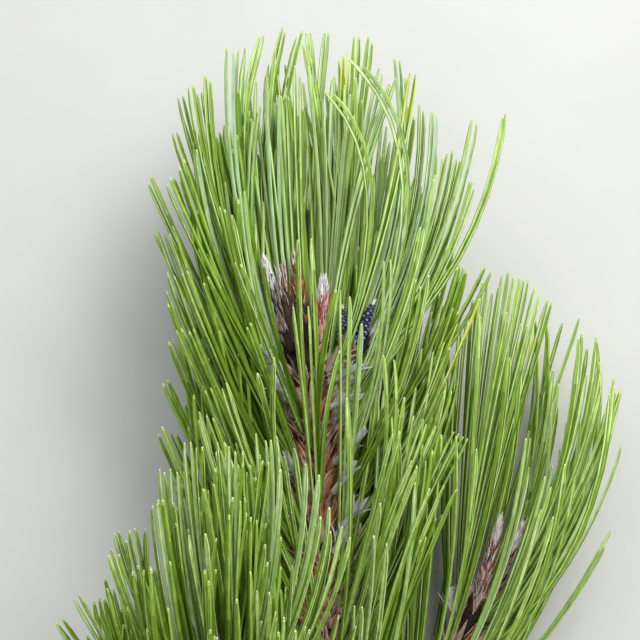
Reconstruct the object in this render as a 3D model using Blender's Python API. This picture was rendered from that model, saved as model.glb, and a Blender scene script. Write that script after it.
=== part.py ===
"""A cut branch of a dwarf Bosnian pine, lying on a table.

The branch is a leader with a bud cluster and three small cones at its top, and two side shoots from
one joint near its cut end. Places are given as seen from straight above the leader: across to the
right, along towards the tip, and up towards the viewer, in millimetres from a point on the leader.
The cut end rests on the table and the lower needles hold the tip clear of it, so the leader leans.
Stems, buds and cones are lofted, and every needle follows one seeded rule round its shoot.
"""

import math
import random
from itertools import product

import bmesh
import bpy
from mathutils import Matrix, Vector

MM = 0.001
GAP = 0.3 * MM
LEAN = math.radians(11)
GOLDEN_ANGLE = math.radians(137.508)

# The leader's ends, and its radius at the cut and at the tip
CUT_ALONG = -80.0
TIP_ALONG = 76.0
CUT_RADIUS = 7.0
TIP_RADIUS = 3.0
REST_HEIGHT = -CUT_ALONG * math.sin(LEAN) + CUT_RADIUS * math.cos(LEAN)
# What moves the origin to the middle of the outline
CENTRE_ACROSS = 8.2
CENTRE_ALONG = 35.6

STEM_SIDES = 12
BOUGH_SIDES = 8
BUD_SIDES = 8
BARK_THICKNESS = 1.9
SECTORS = ("right", "front", "left", "back")

# One needle stands for a pair, so it is thicker than a real one
NEEDLE_RADIUS = 0.88
NEEDLE_STATIONS = (0.0, 0.38, 0.76)
NEEDLE_SWELL = (0.9, 1.0, 0.85)
PATH_STEPS = 60
ROOT_STEPS = 3
CROWDED_STEPS = 11
NEEDLES_CLEAR = 2.0
TRIES = 10
# How far a needle's root keeps from the edges of its quarter, as a share of the quarter
SQUEEZE = 0.62

VIEW_TO_TABLE = (
    Matrix.Translation(Vector((-CENTRE_ACROSS, -CENTRE_ALONG, REST_HEIGHT)))
    @ Matrix.Rotation(LEAN, 4, "X")
)


def place(point):
    """A point of the view as a point over the table, both in millimetres."""
    return VIEW_TO_TABLE @ Vector(point)


def turned(direction):
    """A direction of the view as a direction over the table."""
    return (VIEW_TO_TABLE.to_3x3() @ Vector(direction)).normalized()


class Shoot:
    """A tapering stem on a curve through a base, a bend and a tip."""

    def __init__(self, base, bend, tip, radii, sweep, seed):
        self.ends = [place(p) for p in (base, bend, tip)]
        self.radii = radii
        self.sweep = turned(sweep)
        self.seed = seed

    def point(self, t):
        a, b, c = self.ends
        return a * (1 - t) ** 2 + b * 2 * t * (1 - t) + c * t * t

    def frame(self, t):
        """The tangent, the side to the right of it and the front, at t from base to tip."""
        a, b, c = self.ends
        tangent = ((b - a) * (1 - t) + (c - b) * t).normalized()
        front = turned((0, 0, 1))
        front = (front - tangent * front.dot(tangent)).normalized()
        return tangent, tangent.cross(front), front

    def radius(self, t):
        return self.radii[0] + (self.radii[1] - self.radii[0]) * t

    def around(self, t, angle):
        """The direction out of the stem at an angle from its right side to its front."""
        _, side, front = self.frame(t)
        return side * math.cos(angle) + front * math.sin(angle)


LEADER = Shoot(
    base=(5.2, CUT_ALONG, 0), bend=(2.0, -6, 0), tip=(-3.8, TIP_ALONG, 0),
    radii=(CUT_RADIUS, TIP_RADIUS), sweep=(-0.04, 1, 0), seed=11,
)
LEFT = Shoot(
    base=(-0.5, -62, 6), bend=(-17, -50, 38), tip=(-23, -7, 50),
    radii=(3.8, 2.6), sweep=(-0.02, 1, 0.12), seed=23,
)
RIGHT = Shoot(
    base=(10.4, -58, -2), bend=(20, -26, -9), tip=(39, 5, -8),
    radii=(3.8, 2.6), sweep=(0.04, 1, 0.04), seed=37,
)


def mix(low, high, share):
    return low + (high - low) * share


# The needles' rule


def needle_path(shoot, rule, index, attempt, quarter=None):
    """The points of one needle from inside the bark to its tip, and its outward side at the root.

    The needles wind round the shoot by the golden angle. The lower they stand, the wider they open,
    and each curves back towards the shoot's own upward sweep. A needle that meets the table lies
    along it. Each attempt draws another opening and bend.
    """
    draw = random.Random(shoot.seed * 10000 + index * 10 + attempt)
    height = (index + 0.5) / rule["count"]
    t = mix(*rule["span"], height)
    angle = index * GOLDEN_ANGLE + math.radians(draw.uniform(-5, 5))
    tangent, _, _ = shoot.frame(t)
    out = shoot.around(t, angle)
    root = out
    if quarter is not None:
        off = math.remainder(angle - quarter * math.pi / 2, 2 * math.pi)
        root = shoot.around(t, quarter * math.pi / 2 + off * SQUEEZE)
    narrowest, widest = mix(*rule["narrowest"], height), mix(*rule["widest"], height)
    opening = math.radians(mix(narrowest, widest, draw.random()))
    closing = opening * draw.uniform(0.28, 0.5)
    slew = math.radians(draw.uniform(-7, 7))
    length = draw.uniform(*rule["reach"])
    aside = shoot.sweep.cross(out).normalized()
    first = tangent * math.cos(opening) + out * math.sin(opening)
    last = (
        shoot.sweep * math.cos(closing)
        + (out * math.cos(slew) + aside * math.sin(slew)) * math.sin(closing)
    )
    step = length / PATH_STEPS
    point = shoot.point(t) + root * (shoot.radius(t) + GAP / MM + BARK_THICKNESS * 0.6)
    points = [point]
    for i in range(PATH_STEPS):
        direction = first.lerp(last, (i / PATH_STEPS) ** 0.8).normalized()
        drop = (NEEDLE_RADIUS - point.z) / step
        if direction.z < drop:
            direction.z = min(max(drop, -1.0), 1.0)
            level = math.hypot(direction.x, direction.y)
            stretch = math.sqrt(1 - direction.z ** 2) / level
            direction.x *= stretch
            direction.y *= stretch
        point = point + direction * step
        points.append(point)
    return points, out


# Closed meshes


def new_object(name, rings, material, apex=None, collection=None):
    """A closed loft through rings of points in millimetres, with flat caps or a pointed end."""
    mesh = bpy.data.meshes.new(name)
    shape = bmesh.new()
    loops = [[shape.verts.new(p * MM) for p in ring] for ring in rings]
    count = len(loops[0])
    for low, high in zip(loops, loops[1:]):
        for i in range(count):
            j = (i + 1) % count
            shape.faces.new((low[i], low[j], high[j], high[i]))
    shape.faces.new(list(reversed(loops[0])))
    if apex is None:
        shape.faces.new(loops[-1])
    else:
        point = shape.verts.new(apex * MM)
        for i in range(count):
            shape.faces.new((loops[-1][i], loops[-1][(i + 1) % count], point))
    bmesh.ops.triangulate(shape, faces=shape.faces[:])
    bmesh.ops.recalc_face_normals(shape, faces=shape.faces[:])
    shape.to_mesh(mesh)
    shape.free()
    mesh.materials.append(material)
    made = bpy.data.objects.new(name, mesh)
    (collection or bpy.context.scene.collection).objects.link(made)
    return made


def ring(centre, side, front, radius, sides, start=0.0):
    turns = [start + 2 * math.pi * i / sides for i in range(sides)]
    return [centre + (side * math.cos(a) + front * math.sin(a)) * radius for a in turns]


def stem_rings(shoot, low, high, count, sides, grow=0.0):
    rings = []
    for i in range(count + 1):
        t = mix(low, high, i / count)
        _, side, front = shoot.frame(t)
        rings.append(ring(shoot.point(t), side, front, shoot.radius(t) + grow, sides))
    return rings


def spindle(name, base, tip, radius, profile, material):
    """A turned shape from base to a pointed tip; the profile lists stations and their swell."""
    axis = (tip - base).normalized()
    front = turned((0, 0, 1))
    front = (front - axis * front.dot(axis)).normalized()
    side = axis.cross(front)
    rings = [
        ring(base.lerp(tip, station), side, front, radius * swell, BUD_SIDES)
        for station, swell in profile
    ]
    return new_object(name, rings, material, apex=tip)


def sleeve_rings(shoot, low, high, count, start, end, corners):
    """A shell of bark round part of a stem, clear of it, as rings of one closed section."""
    inner, outer = GAP / MM + 0.05, GAP / MM + BARK_THICKNESS
    rings = []
    for i in range(count + 1):
        t = mix(low, high, i / count)
        turns = [mix(start, end, k / (corners - 1)) for k in range(corners)]
        near, far = shoot.radius(t) + inner, shoot.radius(t) + outer
        section = [shoot.point(t) + shoot.around(t, a) * far for a in turns]
        section += [shoot.point(t) + shoot.around(t, a) * near for a in reversed(turns)]
        rings.append(section)
    return rings


def needle_object(name, points, out, material, collection):
    """A three-sided needle along its path, flat side in, with a pointed tip."""
    rings = []
    for station, swell in zip(NEEDLE_STATIONS, NEEDLE_SWELL):
        i = round(station * (len(points) - 1))
        ahead = (points[i + 1] - points[max(i - 1, 0)]).normalized()
        front = (out - ahead * out.dot(ahead)).normalized()
        rings.append(ring(points[i], front, ahead.cross(front), NEEDLE_RADIUS * swell, 3))
    return new_object(name, rings, material, apex=points[-1], collection=collection)


# What needles keep clear of


class Space:
    """Round limbs, and the needles made so far, kept by cells as wide as needles keep apart."""

    def __init__(self):
        self.limbs = []
        self.cells = {}

    def add_limb(self, points, radii, owner=None, by_roots=False):
        """A limb as short rounds, or the bark of a mass, which that mass's needles may touch."""
        axis = (points[-1] - points[0]).normalized()
        half = (points[-1] - points[0]).length / (len(points) - 1) / 2 + NEEDLE_RADIUS + GAP / MM
        rounds = [(p, axis, half, r + NEEDLE_RADIUS + GAP / MM) for p, r in zip(points, radii)]
        self.limbs.append((rounds, owner, by_roots))

    def cell(self, point):
        return tuple(math.floor(c / NEEDLES_CLEAR) for c in point)

    def add_needle(self, points, mass_name):
        for i, point in enumerate(points):
            self.cells.setdefault(self.cell(point), []).append((point, mass_name, i < CROWDED_STEPS))

    def meets_needle(self, point, mass_name, crowded):
        x, y, z = self.cell(point)
        for cell in product((x - 1, x, x + 1), (y - 1, y, y + 1), (z - 1, z, z + 1)):
            for other, holder, other_crowded in self.cells.get(cell, ()):
                if holder == mass_name and crowded and other_crowded:
                    continue
                if (point - other).length < NEEDLES_CLEAR:
                    return True
        return False

    def meets_limb(self, point, level, at_root):
        for rounds, owner, by_roots in self.limbs:
            if owner == level or (at_root and not by_roots):
                continue
            for centre, axis, half, reach in rounds:
                away = point - centre
                along = away.dot(axis)
                if abs(along) < half and (away - axis * along).length < reach:
                    return True
        return False

    def is_free(self, points, mass_name, level):
        for i, point in enumerate(points):
            if self.meets_needle(point, mass_name, i < CROWDED_STEPS):
                return False
            if self.meets_limb(point, level, i < ROOT_STEPS):
                return False
        return True


SPACE = Space()


def material(name, color, roughness):
    made = bpy.data.materials.new(name)
    made.use_nodes = True
    shader = made.node_tree.nodes["Principled BSDF"]
    shader.inputs["Base Color"].default_value = (*color, 1)
    shader.inputs["Roughness"].default_value = roughness
    shader.inputs["Metallic"].default_value = 0
    return made


# Stems


def stem(name, shoot, low, high, count, sides, bark):
    """A tapering limb. Its surface is what needles keep clear of."""
    made = new_object(name, stem_rings(shoot, low, high, count, sides), bark)
    steps = 40
    stations = [mix(low, high, i / steps) for i in range(steps + 1)]
    SPACE.add_limb([shoot.point(t) for t in stations], [shoot.radius(t) for t in stations])
    return made


def bough(name, shoot, high, bark):
    """A side limb whose lower end is cut slanting, flat beside the leader and clear of it."""
    rings = stem_rings(shoot, 0.0, high, 5, BOUGH_SIDES)
    base = shoot.point(0.0)
    direction, _, _ = shoot.frame(0.0)
    t = nearest_on_leader(base)
    axis, _, _ = LEADER.frame(t)
    away = base - LEADER.point(t)
    away = (away - axis * away.dot(axis)).normalized()
    clear = LEADER.radius(t) + GAP / MM
    rings[0] = [
        p + direction * ((clear - (p - LEADER.point(t)).dot(away)) / direction.dot(away))
        for p in rings[0]
    ]
    made = new_object(name, rings, bark)
    steps = 20
    stations = [mix(0.12, high, i / steps) for i in range(steps + 1)]
    SPACE.add_limb([shoot.point(t) for t in stations], [shoot.radius(t) for t in stations])
    return made


def nearest_on_leader(point):
    stations = [i / 400 for i in range(401)]
    return min(stations, key=lambda t: (LEADER.point(t) - point).length)


# Masses of needles


def fuse(core, name, paths, needle_material):
    """The needles joined to their core by one union."""
    group = bpy.data.collections.new(name + "_needles")
    bpy.context.scene.collection.children.link(group)
    for i, (points, out) in enumerate(paths):
        needle_object(f"{name}_needle_{i}", points, out, needle_material, group)
    union = core.modifiers.new("union", "BOOLEAN")
    union.operation = "UNION"
    union.operand_type = "COLLECTION"
    union.collection = group
    union.solver = "MANIFOLD"
    bpy.context.view_layer.update()
    scene_graph = bpy.context.evaluated_depsgraph_get()
    joined = bpy.data.meshes.new_from_object(core.evaluated_get(scene_graph))
    core.modifiers.remove(union)
    core.data = joined
    for one in list(group.objects):
        bpy.data.objects.remove(one)
    bpy.data.collections.remove(group)


def in_sector(index, sector):
    """Whether a needle's place in the winding falls in one quarter round the stem."""
    turn = (index * GOLDEN_ANGLE / (2 * math.pi) + 0.125) % 1.0
    return int(turn * 4) == sector


def mass(core, level, shoot, rule, indices, needle_material, quarter=None):
    """One mass: a core of bark and the needles of the rule that find free space."""
    paths = []
    for index in indices:
        for attempt in range(TRIES):
            points, out = needle_path(shoot, rule, index, attempt, quarter)
            if SPACE.is_free(points, core.name, level):
                paths.append((points, out))
                SPACE.add_needle(points, core.name)
                break
    fuse(core, core.name, paths, needle_material)


def t_of(along):
    """Where on the leader's curve a height of the view lies."""
    back = VIEW_TO_TABLE.inverted()
    stations = [i / 800 for i in range(801)]
    return min(stations, key=lambda t: abs((back @ LEADER.point(t)).y - along))


def indices_between(rule, low, high):
    count = rule["count"]
    places = [mix(*rule["span"], (i + 0.5) / count) for i in range(count)]
    return [i for i, t in enumerate(places) if low <= t < high]


def reserve_bark(shoot, level, low, high):
    """The space that the bark of one level takes round its stem."""
    stations = [mix(low, high, i / 16) for i in range(17)]
    SPACE.add_limb(
        [shoot.point(t) for t in stations],
        [shoot.radius(t) + BARK_THICKNESS + GAP / MM for t in stations],
        level,
        by_roots=True,
    )


# How many needles, how long, over which part of the stem, and how wide they open, low and high up
LEADER_RULE = {
    "count": 390,
    "reach": (74, 90),
    "span": (t_of(-43.0), t_of(64.0)),
    "narrowest": (22, 2),
    "widest": (42, 41),
}
LEFT_RULE = {
    "count": 140,
    "reach": (68, 80),
    "span": (0.36, 0.985),
    "narrowest": (24, 4),
    "widest": (36, 36),
}
RIGHT_RULE = {
    "count": 140,
    "reach": (78, 91),
    "span": (0.36, 0.985),
    "narrowest": (26, 4),
    "widest": (36, 26),
}
LEADER_LEVELS = (
    ("lower", t_of(-43.0), t_of(-3.0)),
    ("upper", t_of(-2.4), t_of(42.0)),
    ("top", t_of(42.6), t_of(64.0)),
)
SIDE_LEVELS = (("lower", 0.36, 0.66), ("upper", 0.666, 1.0))


def leader_masses(needle_material, bark):
    slit = math.radians(4)
    level, low, high = LEADER_LEVELS[2]
    core = tuft_core(low, high, bark)
    indices = indices_between(LEADER_RULE, low, high)
    mass(core, level, LEADER, LEADER_RULE, indices, needle_material)
    for level, low, high in reversed(LEADER_LEVELS[:2]):
        indices = indices_between(LEADER_RULE, low, high)
        for quarter, side in enumerate(SECTORS):
            start = (quarter - 0.5) * math.pi / 2 + slit / 2
            end = (quarter + 0.5) * math.pi / 2 - slit / 2
            core = new_object(
                f"leader_needles_{level}_{side}",
                sleeve_rings(LEADER, low, high, 4, start, end, 4),
                bark,
            )
            chosen = [i for i in indices if in_sector(i, quarter)]
            mass(core, level, LEADER, LEADER_RULE, chosen, needle_material, quarter)


def tuft_core(low, high, bark):
    """A whole ring of bark round the leader under the buds."""
    inner = stem_rings(LEADER, low, high, 2, STEM_SIDES, GAP / MM + 0.05)
    outer = stem_rings(LEADER, low, high, 2, STEM_SIDES, GAP / MM + BARK_THICKNESS)
    name = "leader_needles_top"
    mesh = bpy.data.meshes.new(name)
    shape = bmesh.new()
    walls = [[[shape.verts.new(p * MM) for p in one] for one in rings] for rings in (inner, outer)]
    for wall in walls:
        for low, high in zip(wall, wall[1:]):
            for i in range(STEM_SIDES):
                j = (i + 1) % STEM_SIDES
                shape.faces.new((low[i], low[j], high[j], high[i]))
    for end in (0, -1):
        for i in range(STEM_SIDES):
            j = (i + 1) % STEM_SIDES
            near, far = walls[0][end], walls[1][end]
            shape.faces.new((near[i], near[j], far[j], far[i]))
    bmesh.ops.triangulate(shape, faces=shape.faces[:])
    bmesh.ops.recalc_face_normals(shape, faces=shape.faces[:])
    shape.to_mesh(mesh)
    shape.free()
    mesh.materials.append(bark)
    made = bpy.data.objects.new(name, mesh)
    bpy.context.scene.collection.objects.link(made)
    return made


def side_masses(side, shoot, rule, needle_material, bark):
    for level, low, high in reversed(SIDE_LEVELS):
        rings = stem_rings(shoot, low, high, 3, BOUGH_SIDES, BARK_THICKNESS)
        core = new_object(f"{side}_shoot_needles_{level}", rings, bark)
        indices = indices_between(rule, low, high)
        mass(core, f"{side}_{level}", shoot, rule, indices, needle_material)


# Buds and cones

BUD_PROFILE = ((0.0, 0.32), (0.12, 0.6), (0.36, 1.0), (0.62, 0.82), (0.84, 0.45))
CONE_PROFILE = ((0.0, 0.42), (0.14, 0.44), (0.2, 0.92), (0.45, 1.0), (0.72, 0.8), (0.9, 0.4))
LEADER_BUDS = (
    ("leader_bud_middle", (-3.9, 76.4, -0.4), (-6.5, 97.2, -1.2), 1.9),
    ("leader_bud_left", (-7.7, 69.2, -1.0), (-14.5, 97.2, -0.6), 2.5),
    ("leader_bud_front", (-6.25, 72.4, 3.5), (-9.8, 94.0, 5.2), 2.2),
    ("leader_bud_right", (0.3, 72.6, 2.4), (0.9, 91.5, 3.6), 2.3),
)
CONE_TWIG = {"base": (0.9, 66.2, 1.1), "tip": (6.6, 71.6, 1.5), "radius": 1.9}
CONES = (
    ("small_cone_right", (10.2, 72.9, 2.6), (13.6, 85.0, 3.6), 1.7),
    ("small_cone_middle", (7.9, 75.2, -0.6), (10.2, 86.2, -1.4), 1.6),
    ("small_cone_left", (4.0, 75.6, 0.2), (5.6, 83.6, 0.0), 1.3),
)
# On a side shoot each bud stands on the stem's end, some way to the right of its middle
RIGHT_BUDS = (
    ("right_shoot_bud_outer", 2.9, (52.3, 31.0, -6.0), 1.8),
    ("right_shoot_bud_middle", 0.0, (46.5, 32.0, -9.0), 1.75),
    ("right_shoot_bud_inner", -2.9, (38.0, 24.0, -6.5), 1.7),
)
LEFT_BUDS = (
    ("left_shoot_bud_right", 2.9, (-15.0, 11.0, 53.0), 1.7),
    ("left_shoot_bud_middle", 0.0, (-24.5, 14.5, 55.0), 1.9),
    ("left_shoot_bud_left", -2.9, (-33.0, 11.0, 53.0), 1.7),
)
BUD_SEAT = 0.45


def bud(name, base, tip, radius, scale_material, profile=BUD_PROFILE):
    spindle(name, base, tip, radius, profile, scale_material)
    steps = 20
    SPACE.add_limb(
        [base.lerp(tip, i / steps) for i in range(steps + 1)],
        [radius * min(1.05, 1.6 - 1.1 * i / steps) for i in range(steps + 1)],
        by_roots=True,
    )


def bud_fan(shoot, buds, scale_material):
    """Buds that open like a hand from the end of a side shoot, each clear of it."""
    tangent, side, _ = shoot.frame(1.0)
    for name, shift, tip, radius in buds:
        base = shoot.point(1.0) + side * shift + tangent * BUD_SEAT
        bud(name, base, place(tip), radius, scale_material)


def cone_twig(bark):
    base, tip = place(CONE_TWIG["base"]), place(CONE_TWIG["tip"])
    axis = (tip - base).normalized()
    front = turned((0, 0, 1))
    front = (front - axis * front.dot(axis)).normalized()
    radius = CONE_TWIG["radius"]
    rings = [
        ring(base.lerp(tip, share), axis.cross(front), front, radius * swell, BUD_SIDES)
        for share, swell in ((0.0, 0.55), (0.3, 0.95), (0.85, 1.0), (1.0, 0.7))
    ]
    new_object("cone_twig", rings, bark)
    SPACE.add_limb([base.lerp(tip, i / 8) for i in range(9)], [radius] * 9, by_roots=True)
    return tip


def main():
    for old in list(bpy.data.objects):
        bpy.data.objects.remove(old)
    bark = material("bark", (0.22, 0.11, 0.06), 0.85)
    scales = material("bud_scales", (0.33, 0.15, 0.10), 0.7)
    needles = material("needles", (0.12, 0.27, 0.05), 0.5)
    cones = material("cones", (0.06, 0.06, 0.14), 0.55)

    stem("leader_stem", LEADER, 0.0, 1.0, 10, STEM_SIDES, bark)
    bough("left_bough", LEFT, 0.35, bark)
    bough("right_bough", RIGHT, 0.35, bark)
    for level, low, high in LEADER_LEVELS:
        reserve_bark(LEADER, level, low, high)
    for side, shoot in (("left", LEFT), ("right", RIGHT)):
        for level, low, high in SIDE_LEVELS:
            reserve_bark(shoot, f"{side}_{level}", low, high)
    for name, base, tip, radius in LEADER_BUDS:
        bud(name, place(base), place(tip), radius, scales)
    twig_end = cone_twig(bark)
    for name, base, tip, radius in CONES:
        start = twig_end + (place(base) - twig_end).normalized() * (CONE_TWIG["radius"] + 0.35)
        bud(name, start, place(tip), radius, cones, CONE_PROFILE)
    bud_fan(LEFT, LEFT_BUDS, scales)
    bud_fan(RIGHT, RIGHT_BUDS, scales)
    leader_masses(needles, bark)
    side_masses("left", LEFT, LEFT_RULE, needles, bark)
    side_masses("right", RIGHT, RIGHT_RULE, needles, bark)


main()
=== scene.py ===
"""Looks for a cut branch of a dwarf Bosnian pine: paired needles, papery sheaths, bud scales, small
blue-violet cones and bark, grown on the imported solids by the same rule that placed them.

Places are given as in the solids' source: across, along and up as seen from straight above the
leader, in millimetres, and `place` lays them on the table.
"""

import math
import random

import bpy
from mathutils import Matrix, Vector


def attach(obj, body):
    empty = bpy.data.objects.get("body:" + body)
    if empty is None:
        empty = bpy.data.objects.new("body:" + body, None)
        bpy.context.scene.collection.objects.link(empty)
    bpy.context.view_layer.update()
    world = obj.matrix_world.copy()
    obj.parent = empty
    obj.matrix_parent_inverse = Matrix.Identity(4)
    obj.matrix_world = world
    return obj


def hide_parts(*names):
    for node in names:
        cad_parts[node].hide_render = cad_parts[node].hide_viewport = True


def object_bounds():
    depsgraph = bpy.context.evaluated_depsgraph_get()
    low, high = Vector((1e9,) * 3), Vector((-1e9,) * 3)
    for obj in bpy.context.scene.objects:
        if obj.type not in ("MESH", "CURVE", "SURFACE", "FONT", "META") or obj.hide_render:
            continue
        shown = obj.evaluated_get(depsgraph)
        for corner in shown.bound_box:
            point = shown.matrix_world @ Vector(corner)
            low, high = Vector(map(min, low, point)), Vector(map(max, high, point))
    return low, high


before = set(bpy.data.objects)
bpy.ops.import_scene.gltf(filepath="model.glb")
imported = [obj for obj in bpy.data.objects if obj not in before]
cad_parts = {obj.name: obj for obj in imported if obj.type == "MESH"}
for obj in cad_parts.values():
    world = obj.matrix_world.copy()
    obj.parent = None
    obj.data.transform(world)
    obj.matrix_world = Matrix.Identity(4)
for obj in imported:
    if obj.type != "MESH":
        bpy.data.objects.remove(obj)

CAD_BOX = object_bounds()

MM = 0.001
LEAN = math.radians(11)
GOLDEN_ANGLE = math.radians(137.508)
CUT_ALONG = -80.0
TIP_ALONG = 76.0
CUT_RADIUS = 7.0
TIP_RADIUS = 3.0
REST_HEIGHT = -CUT_ALONG * math.sin(LEAN) + CUT_RADIUS * math.cos(LEAN)
CENTRE_ACROSS = 8.2
CENTRE_ALONG = 35.6
BARK_THICKNESS = 1.9
PATH_STEPS = 60
BOWED = 9.0
TRIES = 6

# One real needle, its wide end being the foot
NEEDLE_WIDTH = (1.06, 1.44)
NEEDLE_STATIONS = (
    0.0, 0.04, 0.1, 0.18, 0.27, 0.36, 0.46, 0.56, 0.66, 0.76, 0.86, 0.94, 0.972, 0.985, 0.995,
)
TABLE_CLEAR = 0.55
TABLE_SKIN = 0.03

# The photograph's view: 160 mm high at the leader
VIEW_HEIGHT = 160.0
VIEW_MIDDLE_ALONG = 80.0
CAMERA_DISTANCE = 540.0
SENSOR = 36.0

VIEW_TO_TABLE = (
    Matrix.Translation(Vector((-CENTRE_ACROSS, -CENTRE_ALONG, REST_HEIGHT)))
    @ Matrix.Rotation(LEAN, 4, "X")
)
VIEW_TURN = VIEW_TO_TABLE.to_3x3()
TABLE_TO_VIEW = VIEW_TO_TABLE.inverted()


def place(point):
    """A point of the view as a point over the table, both in millimetres."""
    return VIEW_TO_TABLE @ Vector(point)


def turned(direction):
    """A direction of the view as a direction over the table."""
    return (VIEW_TURN @ Vector(direction)).normalized()


TOWARD_VIEWER = turned((0, 0, 1))


def mix(low, high, share):
    return low + (high - low) * share


class Shoot:
    """A tapering stem on a curve through a base, a bend and a tip."""

    def __init__(self, base, bend, tip, radii, sweep, seed):
        self.ends = [place(p) for p in (base, bend, tip)]
        self.radii = radii
        self.sweep = turned(sweep)
        self.seed = seed

    def point(self, t):
        a, b, c = self.ends
        return a * (1 - t) ** 2 + b * 2 * t * (1 - t) + c * t * t

    def frame(self, t):
        """The tangent, the side to the right of it and the front, at t from base to tip."""
        a, b, c = self.ends
        tangent = ((b - a) * (1 - t) + (c - b) * t).normalized()
        front = (TOWARD_VIEWER - tangent * TOWARD_VIEWER.dot(tangent)).normalized()
        return tangent, tangent.cross(front), front

    def radius(self, t):
        return mix(*self.radii, t)

    def around(self, t, angle):
        """The direction out of the stem at an angle from its right side to its front."""
        _, side, front = self.frame(t)
        return side * math.cos(angle) + front * math.sin(angle)


LEADER = Shoot(
    base=(5.2, CUT_ALONG, 0), bend=(2.0, -6, 0), tip=(-3.8, TIP_ALONG, 0),
    radii=(CUT_RADIUS, TIP_RADIUS), sweep=(-0.04, 1, 0), seed=11,
)
LEFT = Shoot(
    base=(-0.5, -62, 6), bend=(-17, -50, 38), tip=(-23, -7, 50),
    radii=(3.8, 2.6), sweep=(-0.02, 1, 0.12), seed=23,
)
RIGHT = Shoot(
    base=(10.4, -58, -2), bend=(20, -26, -9), tip=(39, 5, -8),
    radii=(3.8, 2.6), sweep=(0.04, 1, 0.04), seed=37,
)


def t_of(along, shoot=LEADER):
    """Where on a shoot's curve a height of the view lies."""
    stations = [i / 800 for i in range(801)]
    return min(stations, key=lambda t: abs((TABLE_TO_VIEW @ shoot.point(t)).y - along))


# How many pairs stand on each shoot, their length at its foot and top, and how far they open
# there; the share of them that is left where they would hide the stem from above; the crown that
# their tips stay under as seen, across and along
LEADER_RULE = {
    "count": 390,
    "reach": ((72, 86), (76, 90)),
    "span": (t_of(-43.0), t_of(66.0)),
    "narrowest": (22, 2),
    "widest": (42, 41),
    "hiding": 0.0,
    "tints": (0.30, 0.36, 0.24, 0.10),
    "crown": (
        (-42, 104), (-38, 127), (-35, 137), (-20, 149), (-8, 153), (12, 151), (28, 141),
        (34, 128), (40, 123), (45, 94),
    ),
}
CROWN_RULE = {
    "count": 64,
    "reach": ((74, 84), (78, 92)),
    "span": (t_of(50.0), t_of(67.0)),
    "narrowest": (3, 2),
    "widest": (20, 17),
    "seed": 31000,
    "before": 60,
}
# More pairs behind the leader, which close its ground
GROUND_RULE = {
    "count": 150,
    "reach": ((66, 82), (72, 84)),
    "span": (t_of(-40.0), t_of(56.0)),
    "narrowest": (16, 8),
    "widest": (40, 38),
    "seed": 32000,
    "before": -8,
}
LEFT_RULE = {
    "count": 140,
    "reach": ((66, 78), (68, 80)),
    "span": (0.36, 0.985),
    "narrowest": (24, 4),
    "widest": (36, 36),
    "hiding": 0.15,
    "tints": (0.46, 0.36, 0.12, 0.06),
    "crown": (
        (-70, -5), (-54, 21), (-41, 35), (-39, 43), (-33, 49), (-11, 52), (-6, 47), (0, 40),
        (8, 28), (16, 5),
    ),
}
RIGHT_RULE = {
    "count": 140,
    "reach": ((74, 86), (80, 92)),
    "span": (0.36, 0.985),
    "narrowest": (26, 4),
    "widest": (36, 26),
    "hiding": 0.1,
    "tints": (0.10, 0.28, 0.42, 0.20),
    "crown": ((22, 62), (30, 72), (38, 88), (46, 94), (58, 90), (74, 72), (84, 40)),
}

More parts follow.
